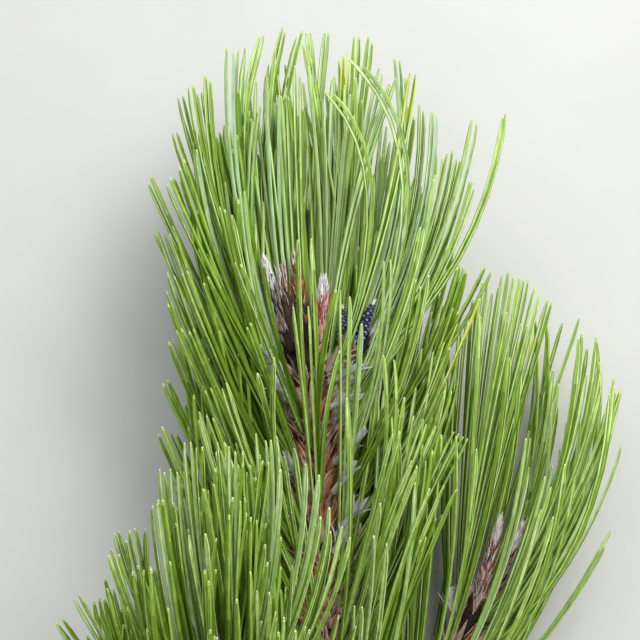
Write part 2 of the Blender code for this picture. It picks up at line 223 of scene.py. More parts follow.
# Pairs that the view shows singly: the height of the root; the tip as seen, across, along and
# toward the viewer; how far the middle bulges to the right; how far the two tips stand apart
LEADER_SHOWN = (
    (60, -35.3, 137.6, 4, -1.6, 1.0, "green"),
    (63, -32.4, 138.9, 8, -2.6, 0.8, "green"),
    (62, -30.2, 137.0, -6, -2.0, 0.8, "green"),
    (58, -28.1, 141.7, 6, -4.0, 1.0, "green"),
    (61, -22.4, 148.6, 2, -3.5, 1.4, "silver"),
    (63, -19.3, 149.6, -12, -5.0, 1.6, "silver"),
    (61, -18.0, 146.8, -9, -5.0, 1.6, "bright"),
    (64, -14.5, 151.3, -14, -8.5, 1.0, "bright"),
    (66, -8.8, 153.7, -14, -6.5, 0.8, "green"),
    (66, -4.7, 152.7, -18, -6.5, 0.8, "green"),
    (64, -4.2, 150.6, -12, 3.5, 0.8, "bright"),
    (66, -3.1, 153.6, -22, 1.5, 0.8, "bright"),
    (66, 1.9, 153.6, -16, -2.5, 0.8, "pale"),
    (65, 9.2, 151.3, -20, 0.5, 0.8, "green"),
    (65, 12.7, 151.3, -14, -0.5, 0.8, "green"),
    (64, 6.4, 147.6, -10, -0.5, 0.8, "gold"),
    (48, 8.1, 145.0, 12, 13.8, 2.2, "pale"),
    (58, 1.2, 137.6, 16, 10.0, 1.9, "bright"),
    (62, 15.4, 143.3, 2, -2.5, 0.9, "pale"),
    (62, 18.5, 140.6, 6, -4.0, 0.9, "pale"),
    (60, 19.0, 146.9, -4, 6.5, 1.4, "silver"),
    (58, 23.3, 142.0, 12, 1.4, 1.2, "gold"),
    (59, 20.9, 142.6, -10, 4.0, 0.9, "pale"),
    (61, -15.9, 139.8, -14, -3.0, 0.0, "pale"),
    (60, -13.3, 139.8, -18, -3.0, 0.0, "silver"),
    (62, -10.7, 144.3, -22, -5.0, 0.8, "green"),
    (60, -11.4, 136.8, -16, -2.0, 0.8, "pale"),
    (61, -9.6, 137.0, -20, -1.5, 0.8, "green"),
    (58, -23.6, 129.1, -4, 0.0, 0.8, "pale"),
    (58, -19.3, 129.9, -12, -2.5, 0.8, "bright"),
    (60, -3.4, 135.1, -16, -1.5, 0.0, "pale"),
    (58, -4.9, 132.5, -18, -0.5, 0.8, "pale"),
    (58, -0.9, 132.5, -14, -0.5, 0.8, "pale"),
    (50, -5.1, 119.6, -16, -0.5, 0.8, "green"),
    (46, -22.3, 107.4, 10, 0.0, 0.0, "green"),
    (46, -24.6, 108.7, 6, 0.0, 0.8, "deep"),
    (52, -19.5, 113.2, 4, -1.0, 0.8, "pale"),
    (60, 1.9, 131.6, -16, -0.5, 0.0, "bright"),
    (60, 5.6, 143.0, -16, -0.5, 0.8, "pale"),
    (58, 6.9, 131.6, -22, 0.5, 0.6, "pale"),
    (60, 8.6, 135.4, -24, 0.5, 1.6, "pale"),
    (58, 11.4, 126.7, -20, 1.0, 0.0, "pale"),
    (56, 13.2, 133.0, -22, 0.5, 1.0, "green"),
    (56, 16.2, 130.0, -20, 1.0, 1.0, "pale"),
    (55, 18.2, 125.6, -18, 1.0, 1.0, "pale"),
    (54, 20.6, 130.8, -12, 2.0, 1.0, "green"),
    (50, 21.9, 119.6, -6, 1.5, 1.0, "bright"),
    (48, 25.9, 113.2, -4, 2.0, 1.0, "pale"),
    (52, 13.3, 110.6, -20, 1.0, 0.8, "bright"),
    (44, 25.5, 103.1, 6, 1.5, 0.8, "bright"),
    (54, 9.2, 105.3, -18, -0.5, 0.0, "green"),
    (54, 8.1, 111.1, -18, -0.5, 0.0, "green"),
    (50, 14.8, 102.0, -18, 1.0, 1.0, "pale"),
    (57, 25.3, 134.2, -6, 5.5, 0.9, "green"),
    (57, 28.4, 133.6, -2, 6.0, 0.9, "silver"),
    (54, 29.8, 121.2, -12, 5.0, 1.4, "bright"),
    (54, 32.6, 122.9, -2, 4.0, 0.9, "green"),
    (52, 34.8, 121.5, 2, 4.0, 0.9, "green"),
    (55, 38.8, 131.5, 4, 5.2, 1.2, "pale"),
    (60, 46.2, 132.2, 2, 8.5, 0.6, "bright"),
    (52, 37.2, 116.5, -4, 4.0, 0.9, "green"),
    (52, 38.5, 114.5, 3, 3.5, 0.9, "bright"),
    (37, 42.2, 92.8, 8, 1.5, 1.6, "deep"),
    (35, 35.2, 94.0, 4, 3.0, 1.2, "deep"),
    (28, 33.9, 82.6, 6, 2.0, 1.2, "deep"),
    (24, 31.8, 73.9, 12, 2.0, 1.4, "green"),
    (30, 27.1, 91.2, 24, 2.5, 0.0, "bright"),
    (30, 24.6, 89.9, 28, 2.5, 1.0, "deep"),
    (35, 16.7, 95.6, 22, 3.0, 1.6, "pale"),
    (14, 32.2, 62.8, 16, 2.0, 1.4, "deep"),
    (-8, 34.6, 52.9, 16, -1.7, 0.9, "green"),
    (-14, 36.4, 50.7, 12, -2.6, 0.9, "deep"),
    (-4, 19.2, 52.5, 30, -1.0, 1.2, "bright"),
    (-4, 26.4, 55.2, 18, -1.5, 0.8, "bright"),
    (-6, 29.3, 54.5, 14, -2.0, 0.0, "bright"),
    (-12, 22.9, 44.8, 26, -2.6, 0.0, "bright"),
    (-18, 24.4, 43.2, 24, -2.8, 0.0, "bright"),
    (-32, 23.8, 39.4, 22, 2.4, 0.0, "pale"),
    (-30, 27.5, 37.9, 26, -2.4, 0.0, "bright"),
    (-28, 31.1, 38.8, 20, -2.6, 0.0, "green"),
    (-28, 34.3, 37.9, 16, -2.0, 0.0, "deep"),
    (-34, 30.0, 31.5, 12, -2.4, 0.8, "deep"),
    (-38, 26.0, 26.0, 18, -2.0, 0.8, "deep"),
    (-36, 16.7, 25.2, 34, 1.0, 0.0, "bright"),
    (-8, 15.1, 34.8, 40, 1.0, 0.0, "bright"),
    (-30, 13.4, 27.0, 42, 1.2, 0.0, "pale"),
    (-40, 9.6, 9.5, 48, 0.5, 1.4, "bright"),
    (44, -43.2, 116.2, 2, 0.0, 1.0, "deep"),
    (53, -38.3, 115.5, 10, 0.0, 1.2, "deep"),
    (50, -36.0, 116.2, 2, -0.5, 1.0, "deep"),
    (56, -36.8, 128.3, -8, -0.5, 0.8, "green"),
    (52, -34.9, 119.9, 6, -0.5, 1.4, "deep"),
    (26, -40.1, 102.8, 0, -0.5, 1.0, "green"),
    (30, -37.5, 103.3, 6, -0.5, 1.0, "deep"),
    (20, -37.6, 92.2, 6, -0.5, 1.0, "deep"),
    (28, -34.3, 93.2, 14, 0.0, 1.0, "deep"),
    (16, -35.8, 78.9, 16, 0.0, 1.0, "green"),
    (20, -32.6, 78.6, 18, 0.0, 1.0, "deep"),
    (8, -37.8, 76.2, 8, -0.5, 1.0, "deep"),
    (40, -28.8, 90.6, 30, 0.0, 1.2, "deep"),
    (50, -20.7, 94.6, 36, 0.5, 0.8, "green"),
    (36, -18.0, 79.2, 34, 0.5, 0.8, "deep"),
    (60, -25.7, 126.9, -10, 0.0, 1.0, "deep"),
    (60, -18.2, 132.2, -8, -2.5, 0.8, "green"),
    (56, -11.5, 123.8, -9, -1.5, 0.8, "bright"),
    (60, -9.0, 132.6, -12, -3.5, 1.0, "green"),
    (58, 2.4, 122.2, -8, 2.8, 2.0, "bright"),
    (44, -5.6, 100.3, 24, -0.8, 0.0, "green"),
    (46, -2.2, 101.3, 22, 0.5, 0.0, "bright"),
    (20, -4.9, 83.4, 28, 0.2, 3.2, "bright"),
    (4, 6.4, 87.5, 11, -0.6, 2.0, "bright"),
    (36, 4.0, 87.8, 18, -2.6, 0.0, "deep"),
    (54, -14.2, 94.0, 34, -1.0, 0.0, "deep"),
    (10, 10.4, 79.2, 14, -0.6, 0.0, "pale"),
    (10, 14.8, 79.2, 14, 0.8, 0.0, "bright"),
    (32, 5.0, 72.2, 20, -2.0, 0.0, "green"),
    (5, 17.0, 72.0, 24, 4.0, 2.4, "bright"),
    (-8, 6.6, 61.8, 22, 1.4, 0.0, "bright"),
    (12, -11.4, 70.6, 32, -3.4, 0.0, "green"),
    (-6, -9.0, 46.2, 44, -0.5, 0.0, "bright"),
    (-8, -6.6, 48.3, 46, 0.0, 0.0, "bright"),
    (20, -15.9, 67.5, 30, 0.0, 0.0, "green"),
    (8, -24.1, 64.2, 26, 0.0, 1.0, "bright"),
    (4, -28.1, 62.8, 22, 0.0, 1.0, "deep"),
    (-4, -27.8, 56.5, 26, 0.0, 1.0, "green"),
)
LEFT_SHOWN = (
    (-18, -52.7, 22.5, 74, -1.0, 0.8, "bright"),
    (-18, -51.2, 28.0, 60, -1.0, 0.8, "green"),
    (-16, -47.2, 28.8, 64, -1.0, 0.8, "green"),
    (-16, -41.2, 35.0, 68, -1.0, 1.0, "green"),
    (-14, -39.5, 43.0, 60, -1.5, 0.8, "bright"),
    (-14, -36.6, 43.0, 62, -1.5, 1.2, "pale"),
    (-13, -34.7, 42.0, 56, -1.0, 0.8, "pale"),
    (-12, -33.2, 49.5, 62, -1.5, 1.0, "pale"),
    (-12, -30.2, 49.5, 60, -2.0, 1.0, "green"),
    (-13, -28.0, 39.0, 66, -0.5, 2.4, "green"),
    (-12, -24.7, 49.5, 62, -0.5, 1.2, "green"),
    (-12, -22.0, 48.5, 68, -1.5, 1.0, "pale"),
    (-11, -14.9, 51.5, 66, 1.5, 1.9, "pale"),
    (-11, -11.7, 51.2, 70, 2.0, 1.1, "pale"),
    (-13, -9.9, 43.8, 74, 1.0, 0.0, "pale"),
    (-14, -3.6, 44.3, 68, 2.5, 0.0, "pale"),
    (-15, -0.3, 41.3, 66, 2.0, 0.0, "pale"),
    (-15, 0.2, 31.8, 78, 1.5, 0.0, "bright"),
    (-16, 2.3, 34.3, 74, 3.0, 0.0, "bright"),
    (-17, 6.7, 27.6, 64, 2.6, 2.2, "bright"),
    (-16, 2.6, 27.2, 60, 3.0, 0.0, "green"),
    (-18, -14.2, 12.6, 84, 1.0, 2.6, "bright"),
    (-20, -7.4, 4.0, 84, 1.5, 2.6, "bright"),
    (-14, -30.8, 27.5, 84, -0.5, 3.4, "bright"),
    (-42, -66.0, 6.0, 50, -1.5, 1.4, "green"),
    (-44, -64.5, 1.0, 42, -1.5, 1.0, "deep"),
    (-46, -65.0, -5.0, 32, -1.0, 1.4, "green"),
    (-40, -61.5, 12.0, 56, -1.5, 1.2, "bright"),
)

# Buds and cones: foot, tip and widest radius
LEADER_BUDS = (
    ("leader_bud_middle", (-3.9, 76.4, -0.4), (-6.5, 97.2, -1.2), 1.9),
    ("leader_bud_left", (-7.7, 69.2, -1.0), (-14.5, 97.2, -0.6), 2.5),
    ("leader_bud_front", (-6.25, 72.4, 3.5), (-9.8, 94.0, 5.2), 2.2),
    ("leader_bud_right", (0.3, 72.6, 2.4), (0.9, 91.5, 3.6), 2.3),
)
CONE_TWIG = {"base": (0.9, 66.2, 1.1), "tip": (6.6, 71.6, 1.5), "radius": 1.9}
CONES = (
    ("small_cone_right", (10.2, 72.9, 2.6), (13.6, 85.0, 3.6), 1.7),
    ("small_cone_middle", (7.9, 75.2, -0.6), (10.2, 86.2, -1.4), 1.6),
    ("small_cone_left", (4.0, 75.6, 0.2), (5.6, 83.6, 0.0), 1.3),
)
# A small bud, white with resin, on the cones' twig
WHITE_BUD = {"base": (9.4, 70.4, 0.4), "tip": (16.6, 82.4, 0.2), "radius": 0.9}
RIGHT_BUDS = (
    ("right_shoot_bud_outer", 2.9, (52.3, 31.0, -6.0), 1.8),
    ("right_shoot_bud_middle", 0.0, (46.5, 32.0, -9.0), 1.75),
    ("right_shoot_bud_inner", -2.9, (38.0, 24.0, -6.5), 1.7),
)
LEFT_BUDS = (
    ("left_shoot_bud_right", 2.9, (-15.0, 11.0, 53.0), 1.7),
    ("left_shoot_bud_middle", 0.0, (-24.5, 14.5, 55.0), 1.9),
    ("left_shoot_bud_left", -2.9, (-33.0, 11.0, 53.0), 1.7),
)


# Materials


def graded(made, color, grain, scale):
    """Adds a noise that drifts the base colour by grain; scale is along x, y and z."""
    nodes, links = made.node_tree.nodes, made.node_tree.links
    spot = nodes.new("ShaderNodeTexCoord")
    stretch = nodes.new("ShaderNodeMapping")
    stretch.inputs["Scale"].default_value = scale
    noise = nodes.new("ShaderNodeTexNoise")
    noise.inputs["Scale"].default_value = 1.0
    noise.inputs["Detail"].default_value = 3
    ramp = nodes.new("ShaderNodeValToRGB")
    ends = ramp.color_ramp.elements
    ends[0].position, ends[1].position = 0.3, 0.7
    ends[0].color = (*[c * (1 - grain) for c in color], 1)
    ends[1].color = (*[min(c * (1 + grain), 1) for c in color], 1)
    links.new(spot.outputs["Object"], stretch.inputs["Vector"])
    links.new(stretch.outputs["Vector"], noise.inputs["Vector"])
    links.new(noise.outputs["Fac"], ramp.inputs["Fac"])
    links.new(ramp.outputs["Color"], nodes["Principled BSDF"].inputs["Base Color"])
    return noise


def surface(name, color, roughness, grain=0.2, scale=(900, 900, 900), bump=0.0, specular=0.5):
    """A surface whose colour drifts, with a fine relief where bump is given."""
    made = bpy.data.materials.new(name)
    made.use_nodes = True
    shader = made.node_tree.nodes["Principled BSDF"]
    shader.inputs["Roughness"].default_value = roughness
    shader.inputs["Specular IOR Level"].default_value = specular
    noise = graded(made, color, grain, scale)
    if bump:
        relief = made.node_tree.nodes.new("ShaderNodeBump")
        relief.inputs["Strength"].default_value = bump
        relief.inputs["Distance"].default_value = 0.0002
        made.node_tree.links.new(noise.outputs["Fac"], relief.inputs["Height"])
        made.node_tree.links.new(relief.outputs["Normal"], shader.inputs["Normal"])
    return made


# Every needle is striped along: these are the stripes' colours. The shade stripe is painted shade;
# the light, glow and line stripes are painted highlights on the faces and margins. The line stripe
# is partly also the real pale margin, and glow is also the paler part before the tip
STRIPES = {
    "shade": (0.078, 0.146, 0.006),
    "leaf": (0.150, 0.266, 0.020),
    "light": (0.262, 0.420, 0.064),
    "glow": (0.430, 0.615, 0.145),
    "grey": (0.340, 0.485, 0.195),
    "line": (0.630, 0.790, 0.350),
    "mist": (0.325, 0.475, 0.270),
    "gold": (0.460, 0.550, 0.050),
    "straw": (0.640, 0.690, 0.160),
}
# Each tint's stripes on the inner face, the two margins and the outer face. Dark and light stripes
# side by side paint shade and light across a needle: the deep tint is a needle in painted shade,
# and the bright tint a needle in painted light
TINTS = {
    "deep": (("shade", "leaf", "shade"), ("light", "leaf"), ("leaf", "shade", "shade")),
    "green": (("leaf", "light", "shade"), ("line", "leaf"), ("shade", "light", "leaf")),
    "bright": (("light", "glow", "leaf"), ("line", "light"), ("leaf", "glow", "leaf")),
    "pale": (("grey", "line", "grey"), ("line", "grey"), ("leaf", "grey", "light")),
    "silver": (("mist", "grey", "mist"), ("line", "mist"), ("mist", "line", "grey")),
    "gold": (("light", "shade", "light"), ("line", "glow"), ("leaf", "light", "leaf")),
}
# What each stripe turns to in a needle's upper part, which more light reaches
LIGHTER = {
    "shade": "leaf", "leaf": "light", "light": "glow", "glow": "line", "grey": "grey",
    "line": "line", "mist": "mist",
}
# What a gold needle's stripes turn to in its upper part instead: yellower, and lighter as painted
# light
YELLOWER = {"shade": "leaf", "leaf": "gold", "light": "gold", "glow": "straw", "line": "straw"}
ALONG_NEEDLES = (900, 55, 900)


def needle_paint():
    paint = {
        name: surface(f"needle_{name}", color, 0.45, 0.22, ALONG_NEEDLES, 0.15, 0.15)
        for name, color in STRIPES.items()
    }
    paint["tip"] = surface("needle_tip", (0.74, 0.72, 0.38), 0.45, 0.12)
    paint["foot"] = surface("needle_foot", (0.36, 0.42, 0.12), 0.45, 0.12)
    return paint


# Dry scale leaves of the stem, with their shares at its left and its right as seen; the near-black one
# is painted shade, for the dark gaps among the scales
SCALE_LEAVES = {
    "leaf_red": ((0.26, 0.070, 0.040), 1, 4),
    "leaf_orange": ((0.60, 0.225, 0.090), 0.5, 8),
    "leaf_rose": ((0.62, 0.420, 0.350), 4.5, 1.5),
    "leaf_mauve": ((0.30, 0.180, 0.160), 5, 0.5),
    "leaf_dark": ((0.036, 0.014, 0.007), 2.5, 2.5),
}


def other_looks():
    looks = {
        "body": surface("bud_body", (0.032, 0.013, 0.006), 0.75, 0.3, bump=0.3),
        "red": surface("bud_scale_red", (0.33, 0.045, 0.040), 0.6, 0.35, bump=0.4),
        "brown": surface("bud_scale_brown", (0.23, 0.080, 0.04), 0.7, 0.35, bump=0.4),
        "orange": surface("bud_scale_orange", (0.60, 0.26, 0.13), 0.7, 0.3, bump=0.4),
        "husk": surface("bud_scale_husk", (0.090, 0.048, 0.018), 0.7, 0.35, bump=0.4),
        "rose": surface("bud_scale_rose", (0.62, 0.43, 0.38), 0.7, 0.2, bump=0.4),
        "mauve": surface("bud_scale_mauve", (0.42, 0.30, 0.29), 0.7, 0.25, bump=0.4),
        "ash": surface("bud_scale_ash", (0.52, 0.53, 0.58), 0.6, 0.3, bump=0.4),
        "fringe": surface("scale_fringe", (0.78, 0.62, 0.52), 0.7, 0.2),
        "resin": surface("resin", (0.82, 0.83, 0.86), 0.45, 0.08, bump=0.3),
        "paper": surface("paper_brown", (0.46, 0.34, 0.28), 0.75, 0.3, bump=0.3),
        "silver": surface("sheath_silver", (0.62, 0.62, 0.58), 0.65, 0.28, bump=0.3),
        "flesh": surface("cone_flesh", (0.014, 0.017, 0.058), 0.42, 0.3, bump=0.2),
        "violet": surface("cone_violet", (0.15, 0.15, 0.38), 0.4, 0.25),
        # A pale violet painted highlight for the cones' knobs
        "painted_highlight": surface("cone_bloom", (0.56, 0.53, 0.84), 0.5, 0.15),
        "bark": surface("bark", (0.11, 0.045, 0.025), 0.9, 0.45, (500, 500, 500), 0.8),
        "bark_ash": surface("bark_ash", (0.25, 0.175, 0.13), 0.9, 0.4, (600, 600, 600), 0.8),
        "bark_rust": surface("bark_rust", (0.20, 0.085, 0.045), 0.9, 0.4, (600, 600, 600), 0.8),
        "wood": surface("cut_wood", (0.74, 0.56, 0.34), 0.8, 0.12, bump=0.2),
        "ring": surface("cut_ring", (0.52, 0.33, 0.16), 0.8, 0.15, bump=0.2),
        "rind": surface("cut_rind", (0.25, 0.26, 0.08), 0.8, 0.2, bump=0.2),
    }
    for name, (color, _, _) in SCALE_LEAVES.items():
        looks[name] = surface("scale_" + name, color, 0.75, 0.35, bump=0.4)
    return looks


# Joined meshes


class Mesher:
    """Many small shapes as one mesh, with a material for each face."""

    def __init__(self, name):
        self.name = name
        self.points = []
        self.faces = []
        self.slots = []
        self.materials = []

    def slot(self, material):
        if material not in self.materials:
            self.materials.append(material)
        return self.materials.index(material)

    def strip(self, rings, materials=None, apex=None, base=False, closed=True, rows=None):
        """A loft through rings; materials holds one for each side, or one for all, and rows
        such a list for each step of the loft."""
        count = len(rings[0])
        sides = count if closed else count - 1
        start = len(self.points)
        for ring in rings:
            self.points.extend(ring)
        slots = [self.slot(m) for m in materials or rows[0]]
        for r in range(len(rings) - 1):
            low, high = start + r * count, start + (r + 1) * count
            if rows:
                slots = [self.slot(m) for m in rows[r]]
            for i in range(sides):
                j = (i + 1) % count
                self.faces.append((low + i, low + j, high + j, high + i))
                self.slots.append(slots[i % len(slots)])
        last = start + (len(rings) - 1) * count
        if apex is not None:
            self.points.append(apex)
            tip = len(self.points) - 1
            for i in range(sides):
                self.faces.append((last + i, last + (i + 1) % count, tip))
                self.slots.append(slots[i % len(slots)])
        if base:
            self.faces.append(tuple(start + i for i in reversed(range(count))))
            self.slots.append(slots[0])

    def finish(self, nodes):
        mesh = bpy.data.meshes.new(self.name)
        for point in self.points:
            point.z = max(point.z, TABLE_SKIN)
        mesh.from_pydata([p * MM for p in self.points], [], self.faces)
        for material in self.materials:
            mesh.materials.append(material)
        mesh.polygons.foreach_set("material_index", self.slots)
        mesh.shade_smooth()
        mesh.update()
        made = bpy.data.objects.new(self.name, mesh)
        bpy.context.scene.collection.objects.link(made)
        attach(made, "root")
        if nodes:
            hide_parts(*nodes)
        return made


# The needles' rule, as in the solids


def walk(point, first, last, length):
    """A line that turns from one direction to another, and lies along the table if it meets it."""
    step = length / PATH_STEPS
    points = [point]
    for i in range(PATH_STEPS):
        direction = first.lerp(last, (i / PATH_STEPS) ** 0.8).normalized()
        drop = (TABLE_CLEAR + 0.6 - point.z) / step
        if direction.z < drop:
            direction.z = min(max(drop, -1.0), 0.999)
            level = math.hypot(direction.x, direction.y)
            stretch = math.sqrt(1 - direction.z ** 2) / level
            direction.x *= stretch
            direction.y *= stretch
        point = point + direction * step
        points.append(point)
    return points


def pair_path(shoot, rule, index, attempt):
    """The middle line of a pair of needles from the bark to its tips, and its outward side."""
    draw = random.Random(shoot.seed * 10000 + index * 10 + attempt)
    height = (index + 0.5) / rule["count"]
    t = mix(*rule["span"], height)
    angle = index * GOLDEN_ANGLE + math.radians(draw.uniform(-5, 5))
    tangent, _, _ = shoot.frame(t)
    out = shoot.around(t, angle)
    narrowest, widest = mix(*rule["narrowest"], height), mix(*rule["widest"], height)
    opening = math.radians(mix(narrowest, widest, draw.random()))
    closing = opening * draw.uniform(0.0, 0.7)
    slew = math.radians(draw.uniform(-15, 15))
    foot, top = rule["reach"]
    length = draw.uniform(mix(foot[0], top[0], height), mix(foot[1], top[1], height))
    aside = shoot.sweep.cross(out).normalized()
    first = tangent * math.cos(opening) + out * math.sin(opening)
    last = (
        shoot.sweep * math.cos(closing)
        + (out * math.cos(slew) + aside * math.sin(slew)) * math.sin(closing)
    )
    # A bow to any side, which the solids' thicker needles leave out
    bow = first.orthogonal().normalized()
    bow.rotate(Matrix.Rotation(draw.uniform(0, 2 * math.pi), 3, first))
    strength = math.radians(min(abs(draw.gauss(0, 8)), 18))
    first = (first + bow * math.tan(strength)).normalized()
    last = (last - bow * math.tan(strength)).normalized()
    start = shoot.point(t) + out * (shoot.radius(t) + BARK_THICKNESS * 0.3)
    return walk(start, first, last, length), out, t


def shown_path(shoot, root, tip, bulge):
    """The middle line of a pair from its root's height to its tip as seen in the view."""
    t = t_of(root, shoot)
    across, along, toward = tip
    nearer = 1 - toward / CAMERA_DISTANCE
    along = VIEW_MIDDLE_ALONG + (along - VIEW_MIDDLE_ALONG) * nearer
    end = place((across * nearer, along, toward))
    stem = shoot.point(t)
    right = (end - stem).cross(TOWARD_VIEWER).normalized()
    tangent, _, _ = shoot.frame(t)
    out = stem.lerp(end, 0.5) + right * bulge * 0.7 - stem
    out = (out - tangent * out.dot(tangent)).normalized()
    start = stem + out * (shoot.radius(t) + BARK_THICKNESS * 0.3)
    middle = 0.76 if bulge > BOWED else 0.5
    bend = start.lerp(end, middle) + right * bulge * 2 + out * 3
    points = []
    for i in range(PATH_STEPS + 1):
        share = i / PATH_STEPS
        points.append(
            start * (1 - share) ** 2 + bend * 2 * share * (1 - share) + end * share ** 2
        )
    return points, out, t


def seen(point):
    """Where the camera sees a point, across and along, and how far it stands toward it."""
    across, along, toward = TABLE_TO_VIEW @ point
    nearer = 1 - toward / CAMERA_DISTANCE
    return across / nearer, VIEW_MIDDLE_ALONG + (along - VIEW_MIDDLE_ALONG) / nearer, toward


def under(crown, point):
    """Whether a point is seen below the crown's outline, and between its ends."""
    across, along, _ = seen(point)
    for (left, low), (right, high) in zip(crown, crown[1:]):
        if left <= across < right:
            return along < mix(low, high, (across - left) / (right - left))
    return False


def within(zone, point):
    """Whether a point is seen in a zone with slanting sides, and before its depth."""
    low, high, left, right, top_left, top_right, depth = zone
    across, along, toward = seen(point)
    share = (along - low) / (high - low)
    beside = mix(left, top_left, share) < across < mix(right, top_right, share)
    return 0 < share < 1 and beside and toward > depth


def hides_stem(points):
    """Whether a needle runs before a stem or its buds, or ends among the needles placed singly."""
    if any(within(zone, points[-1]) for zone in PLACED_TIPS):
        return True
    return any(within(zone, point) for point in points[4::2] for zone in STEM_SHOWS)


def obstacles():
    """Foot, tip and clearance of each bud, cone and twig, which needles keep out of."""
    solid = [(place(base), place(tip), radius + 0.7) for _, base, tip, radius in LEADER_BUDS]
    solid += [(place(base), place(tip), radius + 0.6) for _, base, tip, radius in CONES]
    solid.append((place(CONE_TWIG["base"]), place(CONE_TWIG["tip"]), CONE_TWIG["radius"] + 0.5))
    for group, shoot in ((LEFT_BUDS, LEFT), (RIGHT_BUDS, RIGHT)):
        _, side, _ = shoot.frame(1.0)
        solid += [
            (shoot.point(1.0) + side * shift, place(tip), radius + 0.6)
            for _, shift, tip, radius in group
        ]
    for shoot in (LEADER, LEFT, RIGHT):
        stations = [0.1 * i for i in range(11)]
        solid += [
            (shoot.point(a), shoot.point(b), shoot.radius(a) + 1.0)
            for a, b in zip(stations, stations[1:])
        ]
    return solid


def clear_of(points, solids):
    """Whether a needle past its sheath keeps out of every solid."""
    for point in points[7::3]:
        for base, tip, reach in solids:
            along = tip - base
            share = min(max((point - base).dot(along) / along.length_squared, 0.0), 1.0)
            if (point - base - along * share).length < reach:
                return False
    return True


# Where the view shows stems, buds, cones and air: lowest and highest as seen, left and right at
# the foot, left and right at the top, and their depth
STEM_SHOWS = (
    (-4, 30, -6, 8, -8, 10, 2), (30, 68, -9, 9, -11, 10, 2), (68, 98, -14, 6, -17, 6, -2),
    (66, 88, 3, 16, 4, 18, -4), (-16, 33, 20, 32, 41, 54, -12), (0, 36, 29, 34, 27, 31, -30),
    (28, 70, 7, 12, 7, 12, 6), (62, 76, -16, -10, -16, -11, 4),
)

# Where only the needles placed singly end in front
PLACED_TIPS = ((-20, 50, 8, 24, 15, 40, -4),)

# The section of one needle: an inner face with a channel, narrow margins and a round outer face
SECTION = (
    (-0.50, 0.10), (-0.41, -0.03), (-0.13, 0.03), (0.13, 0.03), (0.41, -0.03), (0.50, 0.10),
    (0.39, 0.38), (0.14, 0.56), (-0.14, 0.56), (-0.39, 0.38),
)


def add_needle(mesher, paint, tint, points, facing, width, twist, draw):
    """One needle along its line; facing is the side that its flat face turns to at the root."""
    count = len(points) - 1
    rings = []
    for share in NEEDLE_STATIONS:
        at = share * count
        i = min(int(at), count - 1)
        centre = points[i].lerp(points[i + 1], at - i)
        ahead = (points[min(i + 1, count)] - points[max(i - 1, 0)]).normalized()
        flat = (facing - ahead * facing.dot(ahead)).normalized()
        flat.rotate(Matrix.Rotation(twist * share, 3, ahead))
        across = ahead.cross(flat)
        swell = min(0.78 + 1.6 * share, 1.0) * min(1.0, (1.006 - share) / 0.06) ** 0.5
        scale = width * swell
        rings.append([centre + across * (x * scale) - flat * (y * scale) for x, y in SECTION])
    inner, margins, outer = TINTS[tint]
    tones = (margins[0], *inner, *margins, *outer, margins[1])
    # Above a point near three quarters of the needle each stripe turns lighter: painted light on its
    # upper part
    turning = [draw.gauss(0.74, 0.10) for _ in tones]
    upper = YELLOWER if tint == "gold" else LIGHTER
    rows = [
        [paint[upper[tone] if share > limit else tone] for tone, limit in zip(tones, turning)]
        for share in NEEDLE_STATIONS[1:-2]
    ]
    mesher.strip(rings[:2], [paint["foot"]])
    mesher.strip(rings[1:-1], rows=rows)
    mesher.strip(rings[-2:], [paint["glow"]])
    mesher.strip(rings[-1:], [paint["tip"]], apex=points[-1])


def add_pair(mesher, paint, points, draw, tints, parting=None, tint=None):
    """The two needles of a bundle, flat faces together at the root and parting towards the tips."""
    ahead = (points[5] - points[0]).normalized()
    if parting is None:
        split = ahead.orthogonal().normalized()
        split.rotate(Matrix.Rotation(draw.uniform(0, 2 * math.pi), 3, ahead))
        parting = draw.uniform(0.5, 2.6)
        tint = draw.choices(list(TINTS), tints)[0]
        shortest = 0.9
    else:
        split = ahead.cross(TOWARD_VIEWER).normalized()
        shortest = 0.98
        if parting:
            parting = parting / 2
        else:
            # One needle behind the other, so that the view shows one
            split = split.cross(ahead)
            parting = -0.5
    for side in (-1, 1):
        line = []
        shift = draw.uniform(0.9, 1.1)
        cut = round((len(points) - 1) * draw.uniform(shortest, 1.0))
        for i, point in enumerate(points[: cut + 1]):
            share = i / (len(points) - 1)
            moved = point + split * side * (0.06 + parting * shift * share ** 1.4)
            moved.z = max(moved.z, TABLE_CLEAR)
            line.append(moved)
        width = draw.uniform(*NEEDLE_WIDTH)
        turn = draw.uniform(-0.9, 0.9)
        add_needle(mesher, paint, tint, line, split * -side, width, turn, draw)


# Papery sheaths and scale leaves


def blade(mesher, root, ahead, out, length, width, curl, middle, rim, steps=4):
    """A small pointed scale that curls outward, with a rim on both sides."""
    across = ahead.cross(out).normalized()
    rings = []
    for k in range(steps + 1):
        share = k / (steps + 1)
        spread = width * 0.5 * min(1.0, 0.7 + 1.5 * share) * (1 - share) ** 0.62
        line = root + ahead * (length * share) + out * (length * curl * share * share)
        cup = out * (spread * 0.35)
        rings.append([
            line - across * spread, line - across * spread * 0.72 + cup,
            line + cup * 1.25, line + across * spread * 0.72 + cup, line + across * spread,
        ])
    tip = root + ahead * length + out * (length * curl)
    mesher.strip(rings, [rim, middle, middle, rim], apex=tip, closed=False)


